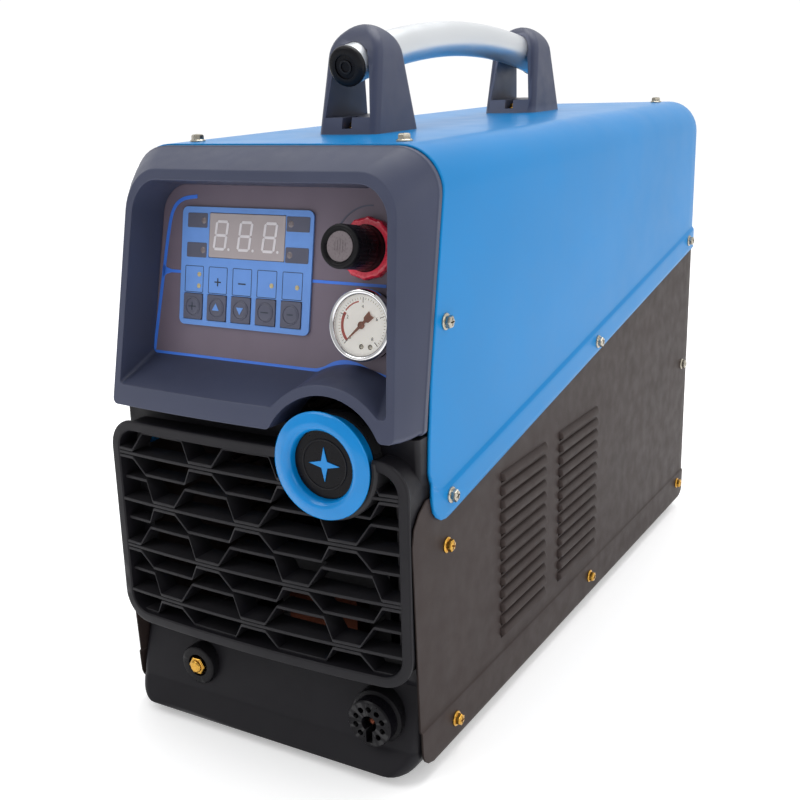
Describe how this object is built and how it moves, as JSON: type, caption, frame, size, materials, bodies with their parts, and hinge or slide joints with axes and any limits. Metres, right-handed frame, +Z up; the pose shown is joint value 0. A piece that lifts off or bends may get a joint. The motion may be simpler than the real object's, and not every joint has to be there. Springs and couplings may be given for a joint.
{
  "type": "plasma cutter unit",
  "caption": "Portable air plasma cutter power unit: sheet-metal case with moulded front, control panel, gas regulator and gauge, sockets, cooling fan and carrying handle.",
  "frame": {"origin": "under the middle of the unit, on the plane that the four feet stand on", "axes": "+Z up, -Y towards the control face, +X to the right seen from the front"},
  "size_m": [0.2356, 0.572, 0.4543],
  "materials": {
    "blue_paint": "semi-gloss powder coat",
    "black_paint": "fine textured powder coat",
    "slate_plastic": "satin moulded ABS",
    "dark_plastic": "matte moulded ABS",
    "black_plastic": "gloss moulded nylon",
    "blue_plastic": "high gloss moulded ABS",
    "panel_print": "satin printed polyester overlay",
    "keypad_print": "satin printed membrane",
    "key_print": "satin printed membrane",
    "display_window": "smoked display filter",
    "red_nut": "gloss coated ring nut",
    "chrome": "polished chrome plate",
    "dial_white": "printed white dial",
    "needle": "painted pointer",
    "clear_glass": "clear lens",
    "brass": "machined brass",
    "copper": "bare copper",
    "steel": "zinc plated steel",
    "aluminium": "satin anodised",
    "rubber": "black rubber",
    "circuit_board": "solder mask",
    "ferrite": "sintered ferrite and sleeve",
    "hose": "nylon hose"
  },
  "bodies": {
    "case": {"base_tray": "black_paint", "foot_front_left": "rubber", "foot_front_right": "rubber", "foot_rear_left": "rubber", "foot_rear_right": "rubber", "side_panel_right": "black_paint", "side_panel_left": "black_paint", "top_cover": "blue_paint", "fixings_right": "steel", "fixings_left": "steel", "fixings_top": "steel", "rear_panel": "black_paint", "upper_bezel": "slate_plastic", "lower_fascia": "dark_plastic", "front_grille": "dark_plastic", "badge_ring": "blue_plastic", "badge_disc": "black_plastic", "control_panel": "panel_print", "keypad_overlay": "keypad_print", "display_window": "display_window", "gauge_bezel": "chrome", "gauge_case": "black_plastic", "gauge_dial": "dial_white", "gauge_glass": "clear_glass", "regulator_nut": "red_nut", "regulator_body": "aluminium", "output_socket": "black_plastic", "output_socket_insert": "brass", "torch_socket": "black_plastic", "torch_socket_pin": "copper", "cable_gland": "black_plastic", "air_inlet": "brass", "power_switch_housing": "black_plastic", "fan_frame": "dark_plastic", "fan_guard": "steel", "heatsink": "aluminium", "transformer_core": "ferrite", "transformer_winding": "copper", "inverter_board": "circuit_board", "capacitor_1": "ferrite", "capacitor_2": "ferrite", "control_board": "circuit_board", "solenoid_valve": "brass", "air_hose": "hose", "handle_tube": "aluminium", "handle_cap_front": "black_plastic", "handle_cap_rear": "black_plastic", "handle_bracket_front": "slate_plastic", "handle_bracket_rear": "slate_plastic"},
    "regulator_spindle": {"regulator_spindle": "brass"},
    "regulator_knob": {"regulator_knob": "black_plastic"},
    "gauge_needle": {"gauge_needle": "needle"},
    "fan_rotor": {"fan_rotor": "black_plastic"},
    "power_switch_lever": {"power_switch_lever": "blue_plastic"},
    "key_1": {"key_1": "key_print"},
    "key_2": {"key_2": "key_print"},
    "key_3": {"key_3": "key_print"},
    "key_4": {"key_4": "key_print"},
    "key_5": {"key_5": "key_print"}
  },
  "joints": [
    {"name": "key_1_press", "type": "slide", "parent": "case", "child": "key_1", "axis": [0, 0.986, -0.1668], "range_m": [0, 0.0005], "stiffness_N_per_m": 600, "springref_m": -0.0005},
    {"name": "key_2_press", "type": "slide", "parent": "case", "child": "key_2", "axis": [0, 0.986, -0.1668], "range_m": [0, 0.0005], "stiffness_N_per_m": 600, "springref_m": -0.0005},
    {"name": "key_3_press", "type": "slide", "parent": "case", "child": "key_3", "axis": [0, 0.986, -0.1668], "range_m": [0, 0.0005], "stiffness_N_per_m": 600, "springref_m": -0.0005},
    {"name": "key_4_press", "type": "slide", "parent": "case", "child": "key_4", "axis": [0, 0.986, -0.1668], "range_m": [0, 0.0005], "stiffness_N_per_m": 600, "springref_m": -0.0005},
    {"name": "key_5_press", "type": "slide", "parent": "case", "child": "key_5", "axis": [0, 0.986, -0.1668], "range_m": [0, 0.0005], "stiffness_N_per_m": 600, "springref_m": -0.0005},
    {"name": "needle_turn", "type": "hinge", "parent": "case", "child": "gauge_needle", "pos_m": [0.068, -0.25086, 0.27625], "axis": [0, 0.986, -0.1668], "range_deg": [0, 270], "stiffness_Nm_per_rad": 0.0008, "springref_deg": -2.86},
    {"name": "regulator_turn", "type": "hinge", "parent": "case", "child": "regulator_spindle", "pos_m": [0.0645, -0.2436, 0.31914], "axis": [0, -0.986, 0.1668], "range_deg": [-720, 720]},
    {"name": "regulator_pull", "type": "slide", "parent": "regulator_spindle", "child": "regulator_knob", "axis": [0, -0.986, 0.1668], "range_m": [0, 0.003]},
    {"name": "fan_spin", "type": "hinge", "parent": "case", "child": "fan_rotor", "pos_m": [0, 0.243, 0.215], "axis": [0, 1, 0], "continuous": true},
    {"name": "switch_throw", "type": "hinge", "parent": "case", "child": "power_switch_lever", "pos_m": [0, 0.265, 0.33], "axis": [1, 0, 0], "range_deg": [-50, 0]}
  ]
}
